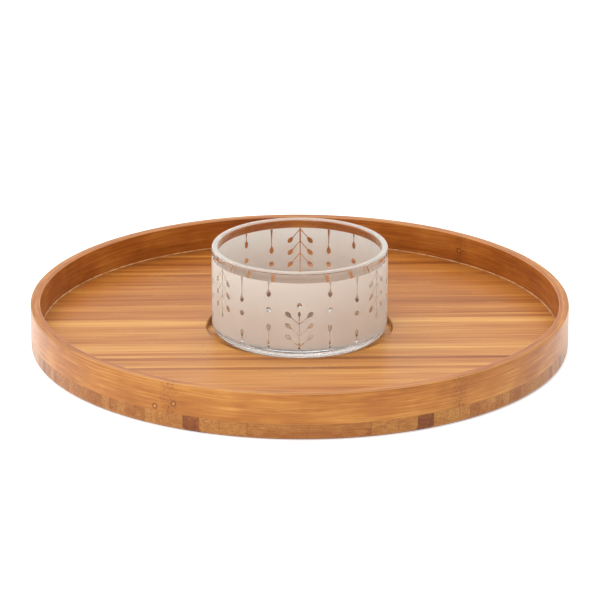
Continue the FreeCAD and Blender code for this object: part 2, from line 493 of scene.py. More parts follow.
@dataclass(frozen=True)
class StripBamboo:
    """Strips on edge, laid side by side, each with a tone of its own."""

    groups: BambooGroups
    strip_width: float
    lacquer: Lacquer = Lacquer()
    darkest: Colour = colour(132, 69, 23)
    middle: Colour = colour(176, 108, 44)
    palest: Colour = colour(212, 154, 80)
    fibre_tint: Colour = colour(104, 50, 18)
    # Painted shade: multiplied onto the strips' cut ends, which the shadowed table lights little.
    cut_end_shade_tint: Colour = (0.72, 0.66, 0.58)
    # Painted contact shadow along the bottom edge of the strips' cut ends.
    foot_shadow_tint: Colour = (0.30, 0.22, 0.16)
    plain_tone: float = 0.4
    tone_spread: float = 0.24
    painted_light_to_front: float = 1.2
    cloud_share: float = 0.7
    streak_share: float = 1.4
    bundle_share: float = 0.42
    glue_share: float = 0.3
    glue_line: float = 0.035
    pore_share: float = 0.28
    pore_scale: float = 520.0
    relief_strength: float = 0.35
    first_knuckle: float = -0.22
    knuckle_spread: float = 0.24
    knuckle_spacing: float = 0.245
    glow_share: float = 0.12
    line_share: float = 0.16
    speck_share: float = 0.1
    knuckle_depth: float = 0.8
    glue_depth: float = 0.6
    # Strips that stand out, by number from the centre towards the back, and
    # how much paler than usual each is. Below nought is darker.
    standing_out: tuple[tuple[int, float], ...] = (
        (1, 0.6), (2, 0.15), (0, 0.1), (15, 0.15), (8, 0.08), (-3, 0.1), (-9, 0.1),
        (-10, 0.3), (-14, -0.35), (-17, 0.2), (-18, -0.35), (-26, -0.25), (-28, 0.15),
        (-32, -0.2), (-36, -0.7), (-39, -0.25), (22, -0.1), (27, -0.2), (31, 0.15),
    )

    def material(self) -> bpy.types.Material:
        """Builds the material.

        Returns:
            The material, which reads Object coordinates.
        """
        made, graph, shader = new_material("strip_bamboo")
        place = graph.node("ShaderNodeTexCoord").outputs["Object"]
        parts = graph.node("ShaderNodeSeparateXYZ", Vector=place).outputs
        along, across, deep = parts["X"], parts["Y"], parts["Z"]

        count = graph.math("DIVIDE", across, self.strip_width)
        index = graph.math("FLOOR", count)
        share = graph.math("SUBTRACT", count, index)
        seed = graph.random(graph.math("ADD", index, 0.37))
        tone = graph.math("MULTIPLY_ADD", seed, self.tone_spread, self.plain_tone)
        # Painted light: the floor is paler towards the front, where more light falls.
        tone = graph.math("MULTIPLY_ADD", across, -self.painted_light_to_front, tone)
        for number, lift in self.standing_out:
            hit = graph.math("COMPARE", index, float(number), 0.4)
            tone = graph.math("MULTIPLY_ADD", hit, lift, tone)

        fibre = use_group(graph, self.groups.fibre, Along=along, Across=across, Deep=deep,
                          Seed=seed, Dense=self.density(graph, index, share),
                          Wander=0.8 * MM, Short=1.0)
        streak, bundle, cloud, height = fibre.outputs[:4]
        tone = graph.shift(cloud, self.cloud_share, tone)
        tone = graph.shift(streak, self.streak_share, tone)
        base = graph.ramp(tone, ((0.0, self.darkest), (0.45, self.middle), (1.0, self.palest)))
        base = graph.tinge(self.bundle_share, bundle, base, self.fibre_tint)

        base, dip = self.knuckles(graph, base, index, along, across, deep)
        from_middle = graph.math("ABSOLUTE", graph.math("SUBTRACT", share, 0.5))
        glue = graph.band(from_middle, 0.5 - self.glue_line, 0.5)
        base = graph.tinge(self.glue_share, glue, base, self.fibre_tint)
        base = self.cut_ends(graph, base, place)

        relief = graph.math("SUBTRACT", height, graph.math("MULTIPLY", dip, self.knuckle_depth))
        relief = graph.math("SUBTRACT", relief, graph.math("MULTIPLY", glue, self.glue_depth))
        self.lacquer.dress(graph, shader, base, streak, relief, self.relief_strength)
        return made

    def cut_ends(self, graph: Graph, base: Socket, place: Socket) -> Socket:
        """Paints shade on the strips' cut ends, darkening them, and shows their pores.

        Args:
            graph: The material's graph.
            base: The colour to draw on.
            place: The place, as Object coordinates.

        Returns:
            The new colour.
        """
        parts = graph.node("ShaderNodeSeparateXYZ", Vector=place).outputs
        cut = graph.band(graph.length(parts["X"], parts["Y"]), TRAY_RADIUS - 4.0 * MM,
                         TRAY_RADIUS - 2.0 * MM)
        pore = graph.spots(place, 0.15, 0.5, self.pore_scale)
        # Painted shade: the cut ends are darkened, as the table below them is in shadow.
        base = graph.blend(cut, base, self.cut_end_shade_tint, "MULTIPLY")
        base = graph.tinge(self.pore_share, graph.math("MULTIPLY", pore, cut), base,
                           self.fibre_tint)
        # Painted contact shadow: the cut ends darken below 1.5 mm, where they meet the table.
        foot = graph.math("MULTIPLY", graph.band(parts["Z"], 0.4 * MM, 1.5 * MM, 1.0, 0.0), cut)
        return graph.blend(foot, base, self.foot_shadow_tint, "MULTIPLY")

    @staticmethod
    def density(graph: Graph, index: Socket, share: Socket) -> Socket:
        """The share of dark fibre across one strip, more towards its skin side.

        Args:
            graph: The material's graph.
            index: The strip's number.
            share: The place across the strip, from 0 to 1.

        Returns:
            The socket of the density, from 0 to 1.
        """
        turned = graph.math("GREATER_THAN", graph.random(graph.math("ADD", index, 11.6)), 0.5)
        mirrored = graph.math("SUBTRACT", 1.0, share)
        side = graph.node("ShaderNodeMix", {"data_type": "FLOAT"})
        graph.feed(side.inputs[0], turned)
        graph.feed(side.inputs[2], share)
        graph.feed(side.inputs[3], mirrored)
        return graph.band(side.outputs[0], 0.05, 1.0, 0.2, 1.0)

    def knuckles(self, graph: Graph, base: Socket, index: Socket, along: Socket,
                 across: Socket, deep: Socket) -> tuple[Socket, Socket]:
        """Draws two joints of the cane on each strip, at places of its own.

        Args:
            graph: The material's graph.
            base: The colour to draw on.
            index: The strip's number.
            along: The place along the grain.
            across: The place across it.
            deep: The height.

        Returns:
            The new colour, and the mask of what lies a little deeper.
        """
        dip: Feed = 0.0
        first = graph.math("MULTIPLY_ADD", graph.random(graph.math("ADD", index, 3.3)),
                           self.knuckle_spread, self.first_knuckle)
        for offset in (0.0, self.knuckle_spacing):
            mark = use_group(graph, self.groups.knuckle, Along=along, Across=across,
                             Deep=deep, Place=graph.math("ADD", first, offset))
            line, speck, glow = mark.outputs[:3]
            base = graph.tinge(self.glow_share, glow, base, self.palest)
            dark = graph.math("MAXIMUM", graph.math("MULTIPLY", line, self.line_share),
                              graph.math("MULTIPLY", speck, self.speck_share))
            base = graph.blend(dark, base, self.fibre_tint)
            dip = graph.math("MAXIMUM", dip, line)
        return base, dip


@dataclass(frozen=True)
class PlyBamboo:
    """A bent ply, whose grain runs round the tray."""

    groups: BambooGroups
    ply: "Ply"
    top: float
    lacquer: Lacquer = Lacquer()
    darkest: Colour = colour(138, 75, 26)
    middle: Colour = colour(176, 109, 42)
    palest: Colour = colour(208, 148, 72)
    fibre_tint: Colour = colour(108, 53, 18)
    # A darker, redder multiply for the inner ply: partly a cane of its own colour, partly painted
    # shade.
    shade_and_ruddy_tint: Colour = (0.96, 0.8, 0.7)
    # The eased top edge's paler tint: wear, together with a painted highlight.
    wear_and_highlight_tint: Colour = colour(212, 158, 98)
    wear_and_highlight_width: float = 0.9 * MM
    wear_and_highlight_share: float = 0.5
    eye_radius: float = 1.7 * MM
    plain_tone: float = 0.5
    cloud_share: float = 1.0
    streak_share: float = 1.5
    bundle_share: float = 0.32
    glow_share: float = 0.12
    line_share: float = 0.12
    speck_share: float = 0.62
    knuckle_depth: float = 0.8
    relief_strength: float = 0.3

    def material(self) -> bpy.types.Material:
        """Builds the material.

        Returns:
            The material, which reads Object coordinates turned so that the
            grain starts and ends at the ply's own joint.
        """
        start = math.radians(self.ply.joint_degrees)
        made, graph, shader = new_material(self.ply.node + "_bamboo")
        place = graph.node("ShaderNodeTexCoord").outputs["Object"]
        turned = graph.node("ShaderNodeMapping", Vector=place,
                            Rotation=(0.0, 0.0, math.pi - start)).outputs[0]
        parts = graph.node("ShaderNodeSeparateXYZ", Vector=turned).outputs
        angle = graph.math("ARCTAN2", parts["Y"], parts["X"])
        along = graph.math("MULTIPLY", angle, self.ply.outer)
        up = parts["Z"]
        out = graph.length(parts["X"], parts["Y"])

        fibre = use_group(graph, self.groups.fibre, Along=along, Across=up, Deep=out,
                          Seed=self.ply.outer * 31.0, Dense=0.5, Wander=3.0 * MM,
                          Short=4.0)
        streak, bundle, cloud, height = fibre.outputs[:4]
        tone = graph.shift(cloud, self.cloud_share, self.plain_tone)
        tone = graph.shift(streak, self.streak_share, tone)
        base = graph.ramp(tone, ((0.0, self.darkest), (0.5, self.middle), (1.0, self.palest)))
        base = graph.tinge(self.bundle_share, bundle, base, self.fibre_tint)
        # The inner ply is darker and redder: partly its own colour, partly painted shade on the
        # rim's inside.
        if self.ply.shaded_ruddy:
            base = graph.blend(1.0, base, self.shade_and_ruddy_tint, "MULTIPLY")

        dip: Feed = 0.0
        for degrees in self.ply.knuckle_degrees:
            mark = use_group(graph, self.groups.knuckle, Along=along, Across=up, Deep=out,
                             Place=self.along_at(degrees))
            line, speck, glow = mark.outputs[:3]
            base = graph.tinge(self.glow_share, glow, base, self.fibre_tint)
            dark = graph.math("MAXIMUM", graph.math("MULTIPLY", line, self.line_share),
                              graph.math("MULTIPLY", speck, self.speck_share))
            base = graph.blend(dark, base, self.fibre_tint)
            dip = graph.math("MAXIMUM", dip, speck)
        for degrees, level in self.ply.eyes:
            base = self.eye(graph, base, along, up, self.along_at(degrees), level)
        # The eased top edge is paler: wear and a painted highlight.
        base = self.wear_and_highlight(graph, base, up, out)

        relief = graph.math("SUBTRACT", height, graph.math("MULTIPLY", dip, self.knuckle_depth))
        self.lacquer.dress(graph, shader, base, streak, relief, self.relief_strength)
        return made

    def along_at(self, degrees: float) -> float:
        """The place along the grain at an angle about Z, counted from the joint."""
        away = math.radians(degrees - self.ply.joint_degrees) % TURN - math.pi
        return away * self.ply.outer

    def eye(self, graph: Graph, base: Socket, along: Socket, up: Socket,
            place: float, level: float) -> Socket:
        """Draws the small ring that a bud leaves on a joint of the cane.

        Args:
            graph: The material's graph.
            base: The colour to draw on.
            along: The place along the grain.
            up: The height.
            place: Where the ring's middle is along the grain.
            level: The height of the ring's middle.

        Returns:
            The new colour.
        """
        far = graph.length(graph.math("SUBTRACT", along, place),
                           graph.math("SUBTRACT", up, level))
        ring = graph.math("ABSOLUTE", graph.math("SUBTRACT", far, self.eye_radius))
        ring = graph.band(ring, 0.2 * MM, 0.9 * MM, 1.0, 0.0)
        middle = graph.band(far, 0.4 * MM, self.eye_radius, 1.0, 0.0)
        base = graph.tinge(0.5, middle, base, self.palest)
        return graph.tinge(0.75, ring, base, self.fibre_tint)

    def wear_and_highlight(self, graph: Graph, base: Socket, up: Socket, out: Socket) -> Socket:
        """Makes the rim's eased top edge paler: partly wear where sanding went deepest, partly a
        painted highlight along the edge.

        Args:
            graph: The material's graph.
            base: The colour to draw on.
            up: The height.
            out: The distance from the tray's middle.

        Returns:
            The new colour, or the same one on a ply with no eased edge.
        """
        edge_radius = self.ply.eased_edge_radius
        if edge_radius is None:
            return base
        near_top = graph.band(up, self.top - self.wear_and_highlight_width, self.top - 0.2 * MM)
        beside = graph.math("ABSOLUTE", graph.math("SUBTRACT", out, edge_radius))
        near_edge = graph.band(beside, 0.3 * MM, self.wear_and_highlight_width, 1.0, 0.0)
        edge = graph.math("MULTIPLY", near_top, near_edge)
        return graph.tinge(self.wear_and_highlight_share, edge, base, self.wear_and_highlight_tint)


@dataclass(frozen=True)
class DriedGlue:
    """The pale bead of glue under the lacquer where floor and rim meet."""

    tint: Colour = colour(224, 176, 122)
    shade: Colour = colour(176, 112, 60)
    lump_scale: float = 160.0
    lump_depth: float = 0.1 * MM
    roughness: float = 0.35

    def material(self) -> bpy.types.Material:
        """Builds the material.

        Returns:
            The material.
        """
        made, graph, shader = new_material("dried_glue")
        place = graph.node("ShaderNodeTexCoord").outputs["Object"]
        lumps = graph.noise(place, self.lump_scale, 2.0)
        base = graph.blend(graph.band(lumps, 0.35, 0.7), self.tint, self.shade)
        bump = graph.node("ShaderNodeBump", Height=lumps, Strength=0.4,
                          Distance=self.lump_depth)
        shader.inputs["Roughness"].default_value = self.roughness
        graph.feed(shader.inputs["Base Color"], base)
        graph.feed(shader.inputs["Normal"], bump.outputs[0])
        return made


class GlassFace(IntEnum):
    """The finishes of the bowl's faces, numbered as its material slots."""

    CLEAR = 0
    FROST = 1
    FADE = 2
    GROUND = 3


@dataclass(frozen=True)
class BowlGlass:
    """One finish of the bowl: polished, or etched by some amount."""

    name: str
    tint: Colour
    transmission: float
    roughness: float
    grain_strength: float = 0.0
    grain_scale: float = 2600.0
    grain_depth: float = 0.02 * MM
    wave_strength: float = 0.04
    wave_scale: float = 38.0
    wave_depth: float = 0.6 * MM
    ior: float = 1.5

    def material(self) -> bpy.types.Material:
        """Builds the material.

        Returns:
            The material, whose slow waves and etched grain are bump only.
        """
        made, graph, shader = new_material(self.name)
        place = graph.node("ShaderNodeTexCoord").outputs["Object"]
        waves = graph.noise(place, self.wave_scale, 1.0)
        bump = graph.node("ShaderNodeBump", Height=waves, Strength=self.wave_strength,
                          Distance=self.wave_depth)
        if self.grain_strength:
            grain = graph.noise(place, self.grain_scale, 2.0)
            bump = graph.node("ShaderNodeBump", Height=grain, Strength=self.grain_strength,
                              Distance=self.grain_depth, Normal=bump.outputs[0])
        shader.inputs["Base Color"].default_value = (*self.tint, 1.0)
        shader.inputs["Roughness"].default_value = self.roughness
        shader.inputs["Transmission Weight"].default_value = self.transmission
        shader.inputs["IOR"].default_value = self.ior
        graph.feed(shader.inputs["Normal"], bump.outputs[0])
        return made


GLASS = {
    GlassFace.CLEAR: BowlGlass("polished_glass", (0.985, 0.99, 0.985), 1.0, 0.0),
    # The etched glass's warm tint is painted light: it stands in for light bounced off the
    # bamboo.
    GlassFace.FROST: BowlGlass("etched_glass", (1.0, 0.962, 0.89), 0.37, 0.9, 0.5),
    GlassFace.FADE: BowlGlass("thinly_etched_glass", (0.99, 0.98, 0.96), 0.85, 0.4, 0.3),
    GlassFace.GROUND: BowlGlass("ground_lip_glass", (1.0, 0.98, 0.95), 0.75, 0.45, 0.3),
}


# ---------------------------------------------------------------------------
# The tray
# ---------------------------------------------------------------------------


@dataclass
class TrayFloor:
    """The strips of the tray's floor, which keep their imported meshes."""

    prefix: str = "floor_strips_"

    @property
    def nodes(self) -> list[str]:
        """The floor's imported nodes, in order."""
        return sorted(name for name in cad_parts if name.startswith(self.prefix))

    @property
    def strip_width(self) -> float:
        """The width of one strip, from a node in the middle of the floor."""
        low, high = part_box(self.nodes[len(self.nodes) // 2])
        return (high.y - low.y) / STRIPS_PER_NODE

    def dress(self, material: bpy.types.Material) -> None:
        """Gives every strip the bamboo finish."""
        for name in self.nodes:
            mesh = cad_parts[name].data
            mesh.materials.clear()
            mesh.materials.append(material)
            log.info("floor: %s dressed", name)


@dataclass
class Ply:
    """One bent ply of the rim."""

    node: str
    inner: float
    outer: float
    joint_degrees: float
    knuckle_degrees: tuple[float, ...]
    eyes: tuple[Point, ...] = ()
    shaded_ruddy: bool = False
    eased_inside: bool = False
    eased_outside: bool = False

    @property
    def eased_edge_radius(self) -> float | None:
        """The radius of the ply's eased top edge, if it has one."""
        if self.eased_inside:
            return self.inner
        return self.outer if self.eased_outside else None


@dataclass
class Rim:
    """The hoop of bent plies on the edge of the floor."""

    body: str = "tray"
    slot: str = "bamboo_plies"
    top_ease: float = 1.1 * MM
    ease_segments: int = 4
    joint_gap: float = 0.15 * MM
    joint_slope: float = 4.0
    bottom: float = field(init=False)
    top: float = field(init=False)
    plies: list[Ply] = field(init=False)

    def __post_init__(self) -> None:
        """Takes the plies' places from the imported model."""
        low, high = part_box("rim_outer_ply")
        self.bottom, self.top = low.z, high.z
        outer_face = outer_radius("rim_outer_ply")
        outer_line = outer_radius("rim_core_ply")
        inner_line = outer_radius("rim_inner_ply")
        inner_face = inner_radius("rim_inner_ply")
        self.plies = [
            Ply("rim_outer_ply", outer_line, outer_face, 98.0, (-119.0, -58.0, 14.0, 171.0),
                eyes=((-117.9, self.bottom + 7.3 * MM), (-122.2, self.bottom + 3.0 * MM),
                      (15.0, self.bottom + 12.0 * MM)),
                eased_outside=True),
            Ply("rim_core_ply", inner_line, outer_line, 62.0, (-20.0, 130.0)),
            Ply("rim_inner_ply", inner_face, inner_line, -84.0, (-150.0, -40.0, 47.0, 155.0),
                eyes=((47.3, self.bottom + 10.0 * MM), (-41.0, self.bottom + 8.0 * MM)),
                shaded_ruddy=True, eased_inside=True),
        ]

    @property
    def inner_face(self) -> float:
        """The radius of the rim's inside."""
        return self.plies[-1].inner

    def build(self, ply: Ply) -> bpy.types.Object:
        """Models one ply by spinning its section round the tray.

        Args:
            ply: The ply.

        Returns:
            The finished piece.
        """
        bpy.ops.object.select_all(action="DESELECT")
        bpy.ops.mesh.primitive_plane_add(size=1.0)
        section = named(bpy.context.object, ply.node + "_bent")
        self.shape_section(section, ply)
        sweep = TURN - self.joint_gap / ply.outer
        in_edit_mode(
            "VERT",
            lambda: bpy.ops.mesh.select_all(action="SELECT"),
            lambda: bpy.ops.mesh.spin(steps=ROUND_STEPS, angle=sweep, center=(0.0, 0.0, 0.0),
                                      axis=(0.0, 0.0, 1.0), dupli=False),
        )
        self.close_ends(section)
        clean(section, merge=0.002 * MM)
        smooth(section)
        return section

    def shape_section(self, section: bpy.types.Object, ply: Ply) -> None:
        """Turns a unit plane into the ply's section, cut across on the taper.

        The section starts flat, with its corners eased. It is then laid along
        the taper, each point at its own distance from the tray's middle.

        Args:
            section: The unit plane.
            ply: The ply.
        """
        thickness = ply.outer - ply.inner
        middle = (ply.outer + ply.inner) / 2.0
        height = self.top - self.bottom
        in_edit_mode(
            "VERT",
            lambda: bpy.ops.mesh.select_all(action="SELECT"),
            lambda: bpy.ops.transform.resize(value=(thickness, height, 1.0),
                                             center_override=(0.0, 0.0, 0.0)),
            lambda: bpy.ops.transform.translate(value=(middle, (self.top + self.bottom) / 2, 0)),
            lambda: bpy.ops.mesh.select_all(action="DESELECT"),
        )
        for eased, side in ((ply.eased_inside, ply.inner), (ply.eased_outside, ply.outer)):
            if not eased:
                continue
            for vertex in section.data.vertices:
                near = Vector((side, self.top, 0.0)) - vertex.co
                vertex.select = near.length < 0.01 * MM
            in_edit_mode(
                "VERT",
                lambda: bpy.ops.mesh.bevel(offset=self.top_ease, segments=self.ease_segments,
                                           affect="VERTICES"),
                lambda: bpy.ops.mesh.select_all(action="DESELECT"),
            )
        joint = math.radians(ply.joint_degrees)
        for vertex in section.data.vertices:
            distance, level = vertex.co.x, vertex.co.y
            angle = joint + (distance - middle) * self.joint_slope / distance
            vertex.co = (distance * math.cos(angle), distance * math.sin(angle), level)

    @staticmethod
    def close_ends(piece: bpy.types.Object) -> None:
        """Fills whichever end of a spun ply has been left open."""
        in_edit_mode(
            "VERT",
            lambda: bpy.ops.mesh.select_all(action="DESELECT"),
            lambda: bpy.ops.mesh.select_non_manifold(
                extend=False, use_wire=False, use_boundary=True,
                use_multi_face=False, use_non_contiguous=False, use_verts=False),
            lambda: bpy.ops.mesh.edge_face_add(),
        )

    def make(self, groups: BambooGroups) -> None:
        """Models, dresses and places every ply."""
        for ply in self.plies:
            piece = self.build(ply)
            piece.data.materials.append(PlyBamboo(groups, ply, self.top).material())
            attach(piece, self.body)
            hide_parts(ply.node)
            log.info("rim: %s, %d faces", piece.name, len(piece.data.polygons))


@dataclass
class GlueBead:
    """The thin bead of dried glue in the corner between floor and rim."""

    rim: Rim
    size: float = 0.55 * MM
    sides: int = 10
    body: str = "tray"
    slot: str = "bamboo_plies"

    def make(self, material: bpy.types.Material) -> None:
        """Models the bead as a small cove spun round the tray, and places it."""
        bpy.ops.object.select_all(action="DESELECT")
        bpy.ops.mesh.primitive_circle_add(vertices=self.sides, radius=self.size,
                                          fill_type="NOTHING")
        bead = named(bpy.context.object, "floor_glue_bead")
        corner = (self.rim.inner_face, 0.0, self.rim.bottom)
        in_edit_mode(
            "VERT",
            lambda: bpy.ops.mesh.select_all(action="SELECT"),
            lambda: bpy.ops.transform.rotate(value=math.radians(90.0), orient_axis="X",
                                             center_override=(0.0, 0.0, 0.0)),
            lambda: bpy.ops.transform.translate(value=corner),
            lambda: bpy.ops.mesh.spin(steps=ROUND_STEPS, angle=TURN, center=(0.0, 0.0, 0.0),
                                      axis=(0.0, 0.0, 1.0), dupli=False),
        )
        clean(bead)
        smooth(bead, 80.0)
        bead.data.materials.append(material)
        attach(bead, self.body)
        log.info("rim: %s, %d faces", bead.name, len(bead.data.polygons))


# ---------------------------------------------------------------------------
# The bowl's motif
# ---------------------------------------------------------------------------


def drop_outline(root: Point, lean: float, length: float, bud: Point,
                 stalk: Point) -> list[Point]:
    """A stalk with a bud at its end, as one closed outline.

    Args:
        root: Where the stalk starts.
        lean: The stalk's direction, in degrees from straight up, clockwise.
        length: From the root to the bud's tip.
        bud: The bud's length and width.
        stalk: The stalk's width at its root and beside the bud.

    Returns:
        The outline's points, in order.
    """
    bud_length, bud_width = bud
    wide, thin = stalk[0] / 2.0, stalk[1] / 2.0
    points_each_side = 10
    right = [(0.0, wide), ((length - bud_length) * 0.55, thin)]
    for step in range(points_each_side + 1):
        share = step / points_each_side
        swell = math.sin(math.pi * share ** 1.3) ** 0.65
        half = max(thin * (1.0 - share), bud_width / 2.0 * swell)
        right.append((length - bud_length * (1.0 - share), half))
    left = [(along, -half) for along, half in reversed(right[:-1])]
    turn = math.radians(lean)
    return [
        (root[0] + along * math.sin(turn) + half * math.cos(turn),
         root[1] + along * math.cos(turn) - half * math.sin(turn))
        for along, half in right + left
    ]


def dot_outline(centre: Point, radius: float) -> list[Point]:
    """A round dot, as a closed outline."""
    sides = 16
    return [
        (centre[0] + radius * math.cos(TURN * step / sides),
         centre[1] + radius * math.sin(TURN * step / sides))
        for step in range(sides)
    ]


class Growth(Enum):
    """Which way a sprig grows: 1 is up from the foot, -1 down from the lip."""

    UP = 1
    DOWN = -1


@dataclass(frozen=True)
class Sprig:
    """A stem with pairs of budded twigs."""

    growth: Growth
    stem_length: float
    twig_length: float
    twig_lean: float
    first_twig: float
    spacing: float
    pairs: int = 3
    bud: Point = (6.4 * MM, 3.5 * MM)
    stem_bud: Point = (5.0 * MM, 2.0 * MM)
    stem: Point = (1.3 * MM, 0.75 * MM)
    twig: Point = (0.75 * MM, 0.6 * MM)

    def outlines(self, across: float, edge: float) -> list[list[Point]]:
        """The sprig's outlines, from the frost's edge that it grows from.

        Args:
            across: The sprig's place round the bowl.
            edge: The height that it grows from.

        Returns:
            Closed outlines, which may overlap.
        """
        sign = self.growth.value
        upright = 0.0 if sign > 0 else 180.0
        made = [drop_outline((across, edge), upright, self.stem_length, self.stem_bud, self.stem)]
        for pair in range(self.pairs):
            level = edge + sign * (self.first_twig + pair * self.spacing)
            for side in (1.0, -1.0):
                lean = upright + sign * side * self.twig_lean
                made.append(drop_outline((across, level), lean, self.twig_length, self.bud,
                                         self.twig))
        return made


@dataclass(frozen=True)
class Beads:
    """A column of a hanging drop, a dot and a standing drop."""

    hanging: float
    dot_depth: float
    standing: float
    bud: Point = (6.4 * MM, 3.4 * MM)
    stalk: Point = (1.9 * MM, 0.65 * MM)
    dot_radius: float = 2.0 * MM

    def outlines(self, across: float, foot: float, top: float) -> list[list[Point]]:
        """The column's outlines between the frost's two edges."""
        return [
            drop_outline((across, top), 180.0, self.hanging, self.bud, self.stalk),
            dot_outline((across, top - self.dot_depth), self.dot_radius),
            drop_outline((across, foot), 0.0, self.standing, self.bud, self.stalk),
        ]


# ---------------------------------------------------------------------------
# The bowl
# ---------------------------------------------------------------------------


@dataclass
class Bowl:
    """The glass bowl, with an etched band that leaves the motif clear."""

    node: str = "dip_bowl"
    body: str = "bowl"
    slot: str = "bowl_glass"
    segments: int = 240
    wall: float = 4.5 * MM
    base: float = 9.0 * MM
    foot_round: float = 10.0 * MM
    inner_round: float = 8.0 * MM
    foot_ring: float = 9.0 * MM
    foot_hollow: float = 1.2 * MM
    foot_lift: float = 0.05 * MM
    round_facets: int = 10
    lip_facets: int = 8
    lip_round_share: float = 0.48
    ground_share: float = 0.3
    frost_top: float = 60.8 * MM
    fade_foot: float = 8.2 * MM
    stations: int = 18
    turned: float = -2.2
    edge_margin: float = 0.2 * MM
    tiles: int = 3
    radius: float = field(init=False)
    bottom: float = field(init=False)
    top: float = field(init=False)

    def __post_init__(self) -> None:
        """Takes the bowl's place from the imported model."""
        low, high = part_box(self.node)
        self.radius = outer_radius(self.node)
        # The glass stands a hair above the wood, so that no light is lost
        # between two faces at one place.
        self.bottom, self.top = low.z + self.foot_lift, high.z

    def blank(self) -> bpy.types.Object:
        """Models the plain bowl from a solid drum, hollowed and rounded.

        Returns:
            The bowl, with nothing etched yet.
        """
        bpy.ops.object.select_all(action="DESELECT")
        height = self.top - self.bottom
        bpy.ops.mesh.primitive_cylinder_add(
            vertices=self.segments, radius=self.radius, depth=height, end_fill_type="NGON",
            location=(0.0, 0.0, self.bottom + height / 2.0))
        bowl = named(bpy.context.object, "dip_bowl_glass")
        bpy.ops.object.transform_apply(location=True, rotation=True, scale=True)
        pick(bowl, lambda centre, normal: normal.z > 0.9)
        in_edit_mode(
            "FACE",
            lambda: bpy.ops.mesh.inset(thickness=self.wall, use_even_offset=True),
            lambda: bpy.ops.mesh.extrude_region_move(
                TRANSFORM_OT_translate={"value": (0.0, 0.0, self.base - height)}),
            lambda: bpy.ops.mesh.inset(thickness=self.inner_round * 1.5),
        )
        pick(bowl, lambda centre, normal: normal.z < -0.9)
        in_edit_mode(
            "FACE",
            lambda: bpy.ops.mesh.inset(thickness=self.foot_round + self.foot_ring),
            lambda: bpy.ops.mesh.inset(thickness=4.0 * self.foot_hollow,
                                       depth=-self.foot_hollow),
        )
        inner = self.radius - self.wall
        floor = self.bottom + self.base
        self.round_ring(bowl, ((self.radius, self.bottom),), self.foot_round,
                        self.round_facets)
        self.round_ring(bowl, ((inner, floor),), self.inner_round, self.round_facets)
        self.round_ring(bowl, ((self.radius, self.top), (inner, self.top)),
                        self.wall * self.lip_round_share, self.lip_facets)
        clean(bowl)
        return bowl

    @staticmethod
    def round_ring(bowl: bpy.types.Object, rings: Sequence[Point], size: float,
                   segments: int) -> None:
        """Rounds one or two rings of edges together.

        Args:
            bowl: The bowl.
            rings: The radius and height of each ring.
            size: The round's radius.
            segments: The number of facets in the round.
        """
        only(bowl)
        pick_rings(bowl, rings)
        in_edit_mode(
            "EDGE",
            lambda: bpy.ops.mesh.bevel(offset=size, segments=segments, affect="EDGES",
                                       clamp_overlap=False),
        )

    def motif(self) -> list[list[Point]]:
        """The outlines of the clear shapes on one tile of the flat band.

        A tile holds an upright sprig at its middle, two columns of beads on
        either side of it, and a hanging sprig beyond them. The distance across
        is counted along the wall from the tile's middle.

        Returns:
            Closed outlines.
        """
        foot = self.bottom + self.foot_round + self.edge_margin
        top = self.bottom + self.frost_top - self.edge_margin
        pitch = TURN * self.radius / self.stations
        upright = Sprig(Growth.UP, stem_length=29.0 * MM, twig_length=14.0 * MM, twig_lean=47.0,
                        first_twig=1.6 * MM, spacing=8.7 * MM)
        hanging = Sprig(Growth.DOWN, stem_length=38.0 * MM, twig_length=14.6 * MM,
                        twig_lean=41.0, first_twig=0.8 * MM, spacing=9.6 * MM)
        made = upright.outlines(0.0, foot) + hanging.outlines(3.0 * pitch, top)
        made.append(dot_outline((0.0, foot + 33.6 * MM), Beads.dot_radius))
        beside_upright = Beads(hanging=11.6 * MM, dot_depth=21.3 * MM, standing=18.4 * MM)
        beside_hanging = Beads(hanging=19.6 * MM, dot_depth=27.8 * MM, standing=10.4 * MM)
        for side in (-1.0, 1.0):
            made += beside_upright.outlines(side * pitch, foot, top)
            made += beside_hanging.outlines(2.0 * side * pitch, foot, top)
        return made

    def etched_tile(self, materials: Iterable[bpy.types.Material]) -> bpy.types.Object:
        """Models one tile of the band, cut along the motif's outlines.

        The flat tile is divided into triangles that keep to every outline and
        to the wall's own facets, then bent to the wall's radius.

        Args:
            materials: The bowl's materials, in the order of its faces' finishes.

        Returns:
            The tile, centred at the front of the bowl.
        """
        columns = self.segments // self.tiles
        step = TURN * self.radius / self.segments
        # The tile's middle is the upright sprig, and its ends lie midway
        # between two stations.
        first = -round(2.5 * self.segments / self.stations)
        foot = self.bottom + self.foot_round
        top = self.bottom + self.frost_top
        points: list[Point] = []
        lines: list[tuple[int, int]] = []
        for column in range(columns + 1):
            across = (first + column) * step
            points += [(across, foot), (across, top)]
            base = 2 * column
            lines.append((base, base + 1))
            if column:
                lines += [(base - 2, base), (base - 1, base + 1)]
        shapes: list[list[int]] = []
        for outline in self.motif():
            shapes.append(list(range(len(points), len(points) + len(outline))))
            points += outline
        flat, _, faces, _, _, owners = delaunay_2d_cdt(
            [Vector(point) for point in points], lines, shapes, 0, 1e-8)
        bend = [
            (self.radius * math.sin(p.x / self.radius),
             -self.radius * math.cos(p.x / self.radius), p.y)
            for p in flat
        ]
        mesh = bpy.data.meshes.new("etched_band")
        mesh.from_pydata(bend, [], [tuple(face) for face in faces])
        for material in materials:
            mesh.materials.append(material)
        for face, inside in zip(mesh.polygons, owners):
            face.material_index = GlassFace.CLEAR if inside else GlassFace.FROST
        tile = bpy.data.objects.new("etched_band", mesh)
        bpy.context.scene.collection.objects.link(tile)
        return tile

